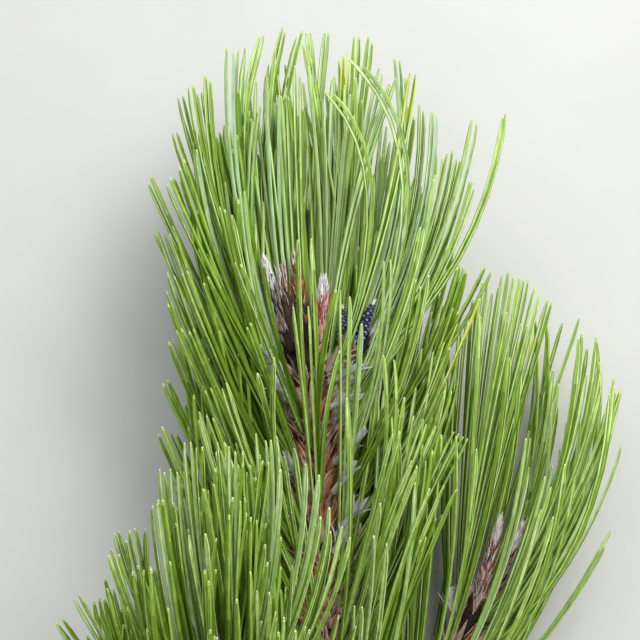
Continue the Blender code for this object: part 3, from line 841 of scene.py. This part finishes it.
# The tones of a sheath's streaks, at its foot and its end, by where it stands; those at the top, by
# the buds, are mostly near-black painted shade
PAPER_TONES = {
    "beside": (("paper", "leaf_mauve", "silver"), ("silver", "silver", "resin", "fringe")),
    "torn": (("leaf_mauve", "leaf_orange", "leaf_red"), ("silver", "resin", "resin", "ash")),
    "front": (
        ("leaf_mauve", "leaf_red", "leaf_orange"), ("leaf_rose", "leaf_red", "leaf_orange", "fringe"),
    ),
    "top": (("leaf_dark",), ("leaf_dark", "leaf_dark", "leaf_red")),
}
# Empty sheaths that stand off the leader: the root's height, and the torn end as seen, across,
# along and toward the viewer
TORN_SHEATHS = (
    (63, 9.4, 68.6, 7), (57, 9.0, 61.5, 10), (42, 10.8, 52.5, 11), (35, 8.8, 44.6, 12),
    (24, 10.0, 35.5, 13), (20, 7.6, 30.6, 13), (62, -13.8, 73.5, 8), (56, -12.0, 67.0, 10),
    (38, -8.6, 47.0, 11),
)


def torn_sheaths(mesher, looks):
    draw = random.Random(94)
    for root, across, along, toward in TORN_SHEATHS:
        t = t_of(root)
        tangent, _, _ = LEADER.frame(t)
        end = place((across, along, toward))
        out = end - LEADER.point(t)
        out = (out - tangent * out.dot(tangent)).normalized()
        start = LEADER.point(t) + out * LEADER.radius(t)
        line = [start.lerp(end, i / PATH_STEPS) for i in range(PATH_STEPS + 1)]
        sheath(mesher, line, out, (end - start).length, 0.85, looks, draw, torn=True)


def sheath(mesher, points, out, length, radius, looks, draw, torn=False):
    """The torn paper tube round the foot of a pair of needles."""
    ahead = (points[4] - points[0]).normalized()
    side = (out - ahead * out.dot(ahead)).normalized()
    other = ahead.cross(side)
    facing = side.dot(TOWARD_VIEWER)
    in_front = facing > 0.1 and not torn
    if in_front:
        length *= 0.45 if facing > 0.55 else 0.7
    corners = 8
    turns = [2 * math.pi * i / corners for i in range(corners)]
    rings = [[
        points[0] - ahead * 1.4 + (side * math.cos(a) + other * math.sin(a)) * radius * 0.5
        for a in turns
    ]]
    steps = 5
    tear = 1.7 if torn else 1.0
    for k in range(steps):
        share = k / (steps - 1)
        frayed = share ** 4 * tear
        ring = []
        for angle in turns:
            ragged = draw.uniform(-1.6, 1.4) * frayed
            flare = draw.uniform(-0.05, 0.55) * frayed
            grow = radius * (1.12 - 0.2 * share + flare + draw.uniform(-0.05, 0.05))
            spot = points[0] + ahead * (length * share + ragged)
            ring.append(spot + (side * math.cos(angle) + other * math.sin(angle)) * grow)
        rings.append(ring)
    feet, ends = PAPER_TONES["torn" if torn else "beside"]
    if in_front:
        # High up, under the buds, a sheath in front takes the near-black tones: painted shade
        feet, ends = PAPER_TONES["top" if seen(points[0])[1] > 60 else "front"]
    upper = looks[draw.choice(ends)]
    mesher.strip(rings[:3], [looks[draw.choice(feet)] for _ in turns])
    mesher.strip(rings[2:], [looks[draw.choice(ends)] for _ in turns])
    for _ in range(7 if torn else 3):
        angle = draw.uniform(0, 2 * math.pi)
        apart = side * math.cos(angle) + other * math.sin(angle)
        blade(
            mesher, points[0] + ahead * length * draw.uniform(0.35, 0.8) + apart * radius,
            (ahead + apart * draw.uniform(0.05, 0.5)).normalized(), apart, draw.uniform(2.5, 5.5),
            draw.uniform(0.7, 1.3), draw.uniform(0.0, 0.5), upper, looks["resin"], steps=2,
        )


# Buds and cones


def axes_of(base, tip):
    axis = (tip - base).normalized()
    front = (TOWARD_VIEWER - axis * TOWARD_VIEWER.dot(axis)).normalized()
    return axis, axis.cross(front), front


def bud_swell(share):
    """How wide a bud is from its foot to its tip, as a share of its widest."""
    return max(0.05, math.sin(math.pi * min(1.0, 0.22 + 0.78 * share)) ** 0.6) * (1 - 0.12 * share)


# What the scales of each kind of bud are made of, from the foot to each share of its length
BUD_BANDS = {
    "left": (
        (0.14, ("body", "body", "brown")), (0.36, ("rose", "rose", "mauve", "brown")),
        (0.5, ("mauve", "body", "rose")), (0.72, ("mauve", "ash", "body")),
        (1.0, ("resin", "ash", "ash")),
    ),
    "front": (
        # The front bud's near-black streaks are painted shade between the buds
        (0.34, ("body", "body", "leaf_dark")), (0.66, ("body", "husk", "leaf_dark", "body")),
        (0.88, ("brown", "body", "husk", "leaf_dark")), (1.0, ("resin", "rose", "brown")),
    ),
    "middle": (
        (0.3, ("body", "body", "brown")), (0.5, ("brown", "body", "husk")),
        (0.85, ("brown", "husk", "body", "red")), (1.0, ("rose", "brown", "resin")),
    ),
    "right": (
        (0.1, ("body", "brown")), (0.3, ("orange", "rose", "fringe", "body")),
        (0.66, ("red", "red", "body", "orange")), (0.8, ("rose", "ash", "red")),
        (1.0, ("resin", "resin", "ash")),
    ),
    "side": (
        (0.4, ("mauve", "brown", "rose")), (0.72, ("brown", "red", "mauve", "body")),
        (1.0, ("resin", "rose", "ash")),
    ),
    "white": ((0.4, ("body", "mauve", "flesh")), (1.0, ("resin", "ash", "resin"))),
}
# The rims of the scales above the dark foot
BUD_RIMS = {
    "left": ("resin", "fringe", "mauve"),
    "front": ("body", "husk", "fringe", "husk"),
    "middle": ("fringe", "orange", "body", "brown"),
    "right": ("resin", "fringe", "red"),
    "side": ("resin", "fringe", "brown"),
    "white": ("resin", "ash"),
}
DARK_FOOT = {"left": 0.1, "front": 0.34, "middle": 0.3, "right": 0.08, "side": 0.0, "white": 0.3}
# Slender dry scales that rise above a bud, and how far
SPIKES = {"front": 7.0, "middle": 5.0}


def cover_bud(mesher, base, tip, radius, looks, draw, kind):
    """A bud under pointed scales that wind round it; the topmost are white with resin."""
    axis, side, front = axes_of(base, tip)
    length = (tip - base).length
    rings = []
    for k in range(9):
        share = k / 9
        turns = [2 * math.pi * i / 10 for i in range(10)]
        wide = radius * bud_swell(share) * 0.86
        rings.append([
            base.lerp(tip, share) + (side * math.cos(a) + front * math.sin(a)) * wide for a in turns
        ])
    mesher.strip(rings, [looks["body"]], apex=base.lerp(tip, 0.985), base=True)
    count = round(length * 8.5)
    for i in range(count):
        share = (i + 0.5) / count
        angle = i * GOLDEN_ANGLE + draw.uniform(-0.25, 0.25)
        out = side * math.cos(angle) + front * math.sin(angle)
        root = base.lerp(tip, share * 0.9) + out * radius * bud_swell(share * 0.9) * 0.8
        ahead = (axis + out * mix(0.14, -0.08, share)).normalized()
        # The front bud's left flank is as pale as the left bud
        like = "left" if kind == "front" and math.cos(angle) < -0.5 else kind
        band = next(tones for limit, tones in BUD_BANDS[like] if share <= limit)
        middle = looks[draw.choice(band)]
        rim = looks[draw.choice(BUD_RIMS[like])] if share > DARK_FOOT[like] else middle
        size = draw.uniform(0.8, 1.2) * mix(1.1, 0.62, share)
        blade(
            mesher, root, ahead, out, 3.9 * size, 1.25 * size, draw.uniform(0.0, 0.2),
            middle, rim, steps=3,
        )
    for i in range(5 if kind in SPIKES else 0):
        angle = i * GOLDEN_ANGLE + 0.6
        out = side * math.cos(angle) + front * math.sin(angle)
        blade(
            mesher, base.lerp(tip, draw.uniform(0.7, 0.86)) + out * radius * 0.5,
            (axis + out * draw.uniform(0.0, 0.16)).normalized(), out,
            SPIKES[kind] * draw.uniform(0.75, 1.2), draw.uniform(0.6, 0.95), 0.06,
            looks[draw.choice(("husk", "rose", "brown"))], looks[draw.choice(("fringe", "resin"))],
            steps=3,
        )


def add_bud(name, base, tip, radius, looks, seed, kind):
    mesher = Mesher(name + "_scales")
    cover_bud(mesher, base, tip, radius, looks, random.Random(seed), kind)
    return mesher.finish([name])


CONE_OUTLINE = ((0.0, 0.42), (0.14, 0.4), (0.2, 0.8), (0.45, 0.86), (0.72, 0.68), (0.9, 0.3))


def add_cone(name, base, tip, radius, looks, seed):
    """A young cone: knobbly scales on a short stalk, and a pale tuft at its tip."""
    mesher = Mesher(name + "_knobs")
    draw = random.Random(seed)
    axis, side, front = axes_of(base, tip)
    turns = [2 * math.pi * i / 12 for i in range(12)]
    rings = [
        [
            base.lerp(tip, share) + (side * math.cos(a) + front * math.sin(a)) * wide * radius
            for a in turns
        ]
        for share, wide in CONE_OUTLINE
    ]
    mesher.strip(rings, [looks["flesh"]], apex=base.lerp(tip, 0.97), base=True)
    foot = base.lerp(tip, 0.2)
    count = 56
    for i in range(count):
        share = (i + 0.3) / count
        angle = i * GOLDEN_ANGLE
        out = side * math.cos(angle) + front * math.sin(angle)
        wide = radius * (0.98 - 0.72 * max(0, share - 0.25) ** 1.3 / 0.69) * 0.80
        root = foot.lerp(tip, share * 0.92) + out * wide
        across = axis.cross(out)
        size = 0.74 * mix(1.0, 0.6, share)
        rim = [
            root + axis * size * 0.9, root + across * size * 0.85,
            root - axis * size * 0.75, root - across * size * 0.85,
        ]
        raised = [root + (p - root) * 0.80 + out * size * 0.6 + axis * size * 0.15 for p in rim]
        peak = root + out * size * 0.95 + axis * size * 0.3
        # The knobs' faces towards the tip and to one side are violet and pale violet as painted
        # highlights; the rest stay navy
        mesher.strip([rim, raised], [looks["flesh"], looks["flesh"], looks["flesh"], looks["violet"]])
        lit = [looks[draw.choice(("violet", "painted_highlight"))] for _ in range(2)]
        mesher.strip([raised], [lit[0], looks["violet"], looks["flesh"], lit[1]], apex=peak)
    for i in range(7):
        angle = i * GOLDEN_ANGLE
        out = side * math.cos(angle) + front * math.sin(angle)
        blade(
            mesher, tip - axis * 1.6 + out * 0.22, (axis + out * 0.06).normalized(), out,
            draw.uniform(1.7, 2.3), 0.8, 0.05, looks["resin"], looks["resin"], steps=2,
        )
    for i in range(12):
        angle = i * GOLDEN_ANGLE
        out = side * math.cos(angle) + front * math.sin(angle)
        blade(
            mesher, base.lerp(tip, 0.03 + 0.012 * i) + out * radius * 0.4,
            (axis + out * 0.55).normalized(), out, draw.uniform(2.2, 3.0), 1.5, 0.12,
            looks["paper"], looks["fringe"], steps=2,
        )
    return mesher.finish([name])


# Stems


def bark_scars(mesher, shoot, low, high, count, looks, draw):
    """The bare part of a stem under the scars that old scale leaves left."""
    for i in range(count):
        t = mix(low, high, (i + 0.5) / count)
        tangent, _, _ = shoot.frame(t)
        out = shoot.around(t, i * GOLDEN_ANGLE + draw.uniform(-0.1, 0.1))
        tone = looks[draw.choice(("bark_ash", "bark_ash", "bark_rust", "bark"))]
        blade(
            mesher, shoot.point(t) + out * (shoot.radius(t) + 0.2),
            (tangent + out * draw.uniform(0.0, 0.14)).normalized(), out, draw.uniform(2.8, 4.6),
            draw.uniform(1.5, 2.5), 0.0, tone, tone, steps=3,
        )


def bark_tube(name, shoot, low, high, rows, sides, nodes, looks, seed, bare, scars, cut=False):
    """Bark in long cushions that wind round the stem, with a cut face where the branch was cut,
    or else a foot that grows out of the leader."""
    mesher = Mesher(name)
    draw = random.Random(seed)
    knots = [
        (mix(low, high, (i + 0.5) / 160), i * GOLDEN_ANGLE, draw.uniform(0.6, 1.1))
        for i in range(160)
    ]
    length = sum(
        (shoot.point(mix(low, high, (i + 1) / 20)) - shoot.point(mix(low, high, i / 20))).length
        for i in range(20)
    )
    rings = []
    for r in range(rows + 1):
        t = mix(low, high, r / rows)
        near = [k for k in knots if abs(t - k[0]) / (high - low) * length < 5]
        ring = []
        for i in range(sides):
            angle = 2 * math.pi * i / sides
            lift = 0.0
            for knot_t, knot_angle, knot in near:
                along = (t - knot_t) / (high - low) * length
                off = math.remainder(angle - knot_angle, 2 * math.pi) * shoot.radius(t)
                lift += knot * 0.55 * math.exp(-1.6 * ((along / 3.4) ** 2 + (off / 1.25) ** 2))
            out = shoot.around(t, angle)
            ring.append(shoot.point(t) + out * (shoot.radius(t) * 0.97 + min(lift, 0.7)))
        rings.append(ring)
    if not cut:
        start = shoot.point(low)
        heart = LEADER.point(t_of((TABLE_TO_VIEW @ start).y - 5))
        collar = [
            [heart.lerp(start, share) + (spot - start) * wide for spot in rings[0]]
            for share, wide in ((0.0, 0.8), (0.45, 1.2), (0.75, 1.2), (0.9, 1.1))
        ]
        rings = collar + rings
    mesher.strip(rings, [looks["bark"]])
    bark_scars(mesher, shoot, max(low, 0.0), bare, scars, looks, draw)
    if cut:
        centre, wood_edge = shoot.point(low), shoot.radius(low)
        tangent, _, _ = shoot.frame(low)
        turns = [2 * math.pi * i / sides for i in range(sides)]
        loops = [rings[0]]
        for wide in (0.9, 0.88, 0.72, 0.70, 0.5, 0.48, 0.28, 0.26, 0.1):
            loops.append([centre + shoot.around(low, a) * wood_edge * wide for a in turns])
        tones = ("rind", "ring", "wood", "ring", "wood", "ring", "wood", "ring", "wood")
        for outer, inner, tone in zip(loops, loops[1:], tones):
            mesher.strip([inner, outer], [looks[tone]])
        mesher.strip([loops[-1]], [looks["ring"]], apex=centre - tangent * 0.05)
    return mesher.finish(nodes)


def cone_twig(looks):
    mesher = Mesher("cone_twig_scales")
    base, tip = place(CONE_TWIG["base"]), place(CONE_TWIG["tip"])
    axis, side, front = axes_of(base, tip)
    turns = [2 * math.pi * i / 12 for i in range(12)]
    rings = [
        [base.lerp(tip, share) + (side * math.cos(a) + front * math.sin(a)) * wide for a in turns]
        for share, wide in ((-0.3, 1.5), (0.2, 1.8), (0.8, 1.9), (1.0, 1.4))
    ]
    mesher.strip(rings, [looks["body"]], apex=tip + axis * 0.4)
    draw = random.Random(77)
    for i in range(46):
        angle = i * GOLDEN_ANGLE
        out = side * math.cos(angle) + front * math.sin(angle)
        tone = looks[draw.choice(("brown", "mauve", "rose", "rose"))]
        blade(
            mesher, base.lerp(tip, i / 44) + out * 1.6, (axis + out * 0.3).normalized(), out,
            draw.uniform(3.0, 4.6), 2.2, 0.2, tone, looks["fringe"], steps=3,
        )
    foot, end, wide = WHITE_BUD.values()
    cover_bud(mesher, place(foot), place(end), wide, looks, draw, "white")
    return mesher.finish(["cone_twig"])


def scale_leaf(mesher, shoot, t, angle, looks, draw):
    """One dry scale leaf on the bark, red-brown with a pale rim."""
    tangent, _, _ = shoot.frame(t)
    out = shoot.around(t, angle)
    rightward = 0.5 + 0.5 * math.cos(angle)
    shares = [mix(left, right, rightward) for _, left, right in SCALE_LEAVES.values()]
    tone = looks[draw.choices(list(SCALE_LEAVES), shares)[0]]
    rim = looks["fringe"] if draw.random() < 0.4 else tone
    # Near the leader's top, under the buds, more scale leaves turn near-black: painted shade
    if draw.random() < (t - 0.89) * 14:
        tone = rim = looks["leaf_dark"]
    blade(
        mesher, shoot.point(t) + out * (shoot.radius(t) + 0.1),
        (tangent + out * draw.uniform(0.16, 0.46)).normalized(), out, draw.uniform(4.6, 8.2),
        draw.uniform(1.1, 1.9), draw.uniform(0.0, 0.25), tone, rim, steps=4,
    )


RIGHT_SHOWN = (
    (4, 38.8, 86.5, -20, 0.5, 1.0, "green"),
    (3, 41.5, 91.0, -14, 0.0, 1.0, "bright"),
    (4, 44.0, 88.5, -4, 0.5, 1.2, "green"),
    (5, 46.5, 92.8, -10, 0.8, 1.0, "pale"),
    (5, 49.2, 91.0, 4, 1.0, 1.2, "bright"),
    (4, 51.8, 91.8, -16, 1.2, 1.0, "green"),
    (3, 54.5, 88.0, -6, 1.5, 1.2, "bright"),
    (2, 57.5, 85.0, -18, 1.5, 1.0, "green"),
    (0, 36.0, 80.5, -12, 0.0, 1.0, "green"),
    (0, 33.0, 72.5, -18, -0.5, 1.0, "deep"),
    (1, 47.5, 82.0, 10, 0.5, 1.4, "bright"),
    (0, 51.0, 79.0, 6, 1.0, 1.4, "green"),
)


def husks(mesher, looks):
    """Dry scales that stand out from the front of the leader, where the view shows it bare."""
    draw = random.Random(88)
    count = 330
    for i in range(count):
        t = t_of(mix(-8, 75, (i + draw.random()) / count))
        angle = math.pi / 2 + draw.uniform(-1.35, 1.35)
        tangent, _, _ = LEADER.frame(t)
        out = LEADER.around(t, angle)
        rightward = 0.5 + 0.5 * math.cos(angle)
        shares = [mix(left, right, rightward) for _, left, right in SCALE_LEAVES.values()]
        tone = looks[draw.choices(list(SCALE_LEAVES), shares)[0]]
        rim = looks[draw.choice(("fringe", "fringe", "leaf_orange", "leaf_rose"))]
        # Near the leader's top, under the buds, more of them turn near-black: painted shade
        if draw.random() < (t - 0.92) * 20:
            tone = rim = looks["leaf_dark"]
        blade(
            mesher, LEADER.point(t) + out * (LEADER.radius(t) + draw.uniform(0.3, 1.3)),
            (tangent + out * draw.uniform(0.2, 0.7)).normalized(), out, draw.uniform(3.0, 5.8),
            draw.uniform(1.5, 2.9), draw.uniform(0.1, 0.5), tone, rim, steps=3,
        )


def tints_at(rule, tip):
    """The shares of the tints of a pair: deeper at the left as seen, and for the leader at the right
    too, as painted shade, and paler at the top as painted light.
    """
    across, along, _ = seen(tip)
    left = min(max((-across - 10) / 20, 0), 1)
    high = min(max((along - 106) / 36, 0), 1)
    deep, green, bright, pale = rule["tints"]
    right = 0 if rule is RIGHT_RULE else min(max((across - 12) / 20, 0), 1)
    return (
        deep + (3.0 * left + 0.5 * right) * (1 - high), green, bright * (1 - 0.4 * right) + 0.5 * high,
        pale * (1 - 0.6 * right) + 1.5 * high, 0.02 + 0.14 * high, 0.01 + 0.05 * high,
    )


def clothe(name, shoot, rule, shown, paint, looks, solids):
    """The needles of one shoot, their sheaths and the scale leaves between them."""
    nodes = [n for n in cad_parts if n.startswith(name + "_needles")]
    half = rule["count"] // 2
    for part, indices in (("low", range(half)), ("high", range(half, rule["count"]))):
        needles = Mesher(f"{name}_needles_{part}_pairs")
        papers = Mesher(f"{name}_sheaths_{part}")
        for index in indices:
            draw = random.Random(shoot.seed * 777 + index)
            for attempt in range(TRIES):
                points, out, t = pair_path(shoot, rule, index, attempt)
                if clear_of(points, solids) and under(rule["crown"], points[-1]):
                    break
            stays = draw.random() < rule["hiding"] or not hides_stem(points)
            if attempt < TRIES - 1 and stays and points[-1].z < CAD_BOX[1][2] / MM + 2:
                add_pair(needles, paint, points, draw, tints_at(rule, points[-1]))
                sheath(papers, points, out, draw.uniform(5.5, 10.5), 1.1, looks, draw)
            for k in range(5):
                angle = (index + k / 5) * GOLDEN_ANGLE + draw.uniform(-0.3, 0.3)
                scale_leaf(papers, shoot, t, angle, looks, draw)
        if shoot is LEADER:
            more = CROWN_RULE if part == "high" else GROUND_RULE
            for index in range(more["count"]):
                draw = random.Random(more["seed"] + index)
                for attempt in range(TRIES):
                    points, out, _ = pair_path(shoot, more, index, attempt)
                    if clear_of(points, solids) and under(rule["crown"], points[-1]):
                        if seen(points[-1])[2] < more["before"] and not hides_stem(points):
                            add_pair(needles, paint, points, draw, tints_at(rule, points[-1]))
                            sheath(papers, points, out, draw.uniform(5.5, 10.5), 1.1, looks, draw)
                            break
        low = part == "low"
        for k, (root, across, along, toward, bulge, apart, tint) in enumerate(shown):
            if (t_of(root, shoot) < mix(*rule["span"], 0.5)) == low:
                draw = random.Random(shoot.seed * 999 + k)
                points, out, t = shown_path(shoot, root, (across, along, toward), bulge)
                add_pair(needles, paint, points, draw, None, apart, tint)
                sheath(papers, points, out, draw.uniform(5.5, 10.5), 1.1, looks, draw)
        if part == "high" and shoot is LEADER:
            husks(papers, looks)
            torn_sheaths(papers, looks)
        needles.finish([n for n in nodes if ("lower" in n) == low])
        papers.finish([])


def set_scene():
    """A pale table, soft light from above and the camera straight over the leader."""
    scene = bpy.context.scene
    scene.view_settings.view_transform = "Standard"
    table = bpy.data.meshes.new("table")
    table.from_pydata([(-3, -3, 0), (3, -3, 0), (3, 3, 0), (-3, 3, 0)], [], [(0, 1, 2, 3)])
    table.materials.append(surface("table", (0.60, 0.60, 0.585), 0.8, 0.02, (30, 30, 30)))
    floor = bpy.data.objects.new("table", table)
    scene.collection.objects.link(floor)
    world = bpy.data.worlds.new("studio")
    world.use_nodes = True
    world.node_tree.nodes["Background"].inputs["Color"].default_value = (0.95, 0.98, 1.0, 1)
    world.node_tree.nodes["Background"].inputs["Strength"].default_value = 0.56
    scene.world = world
    for name, at, size, power, color in (
        ("key", (290, 460, 470), 0.35, 3.3, (1.0, 0.99, 0.93)),
        ("fill", (30, 350, 310), 0.4, 0.85, (0.97, 0.98, 1.0)),
    ):
        light = bpy.data.lights.new(name, "AREA")
        light.size = size
        light.energy = power
        light.color = color
        lamp = bpy.data.objects.new(name, light)
        spot = place(at) * MM
        aim = place((0, 60, 0)) * MM - spot
        lamp.location = spot
        lamp.rotation_euler = aim.to_track_quat("-Z", "Y").to_euler()
        scene.collection.objects.link(lamp)
    lens = bpy.data.cameras.new("camera")
    lens.sensor_width = SENSOR
    lens.lens = SENSOR * CAMERA_DISTANCE / VIEW_HEIGHT
    lens.clip_start = 0.01
    camera = bpy.data.objects.new("camera", lens)
    camera.location = place((0, VIEW_MIDDLE_ALONG, CAMERA_DISTANCE)) * MM
    camera.rotation_euler = (LEAN, 0, 0)
    scene.collection.objects.link(camera)
    scene.camera = camera


def main():
    paint = needle_paint()
    looks = other_looks()
    solids = obstacles()
    bark_tube(
        "leader_bark", LEADER, 0.0, 1.0, 260, 36, ["leader_stem"], looks, 3, 0.25, 330, cut=True,
    )
    bark_tube("left_bark", LEFT, -0.06, 1.0, 120, 26, ["left_bough"], looks, 4, 0.37, 170)
    bark_tube("right_bark", RIGHT, -0.06, 1.0, 120, 26, ["right_bough"], looks, 5, 0.37, 170)
    cone_twig(looks)
    clothe("leader", LEADER, LEADER_RULE, LEADER_SHOWN, paint, looks, solids)
    clothe("left_shoot", LEFT, LEFT_RULE, LEFT_SHOWN, paint, looks, solids)
    clothe("right_shoot", RIGHT, RIGHT_RULE, RIGHT_SHOWN, paint, looks, solids)
    for i, (name, base, tip, radius) in enumerate(LEADER_BUDS):
        add_bud(name, place(base), place(tip), radius, looks, 500 + i, name.split("_")[-1])
    for group, shoot, seed in ((LEFT_BUDS, LEFT, 520), (RIGHT_BUDS, RIGHT, 540)):
        tangent, side, _ = shoot.frame(1.0)
        for i, (name, shift, tip, radius) in enumerate(group):
            base = shoot.point(1.0) + side * shift + tangent * 0.1
            add_bud(name, base, place(tip), radius, looks, seed + i, "side")
    twig = place(CONE_TWIG["tip"])
    for i, (name, base, tip, radius) in enumerate(CONES):
        start = twig + (place(base) - twig).normalized() * 1.2
        add_cone(name, start, place(tip), radius, looks, 560 + i)
    set_scene()


main()
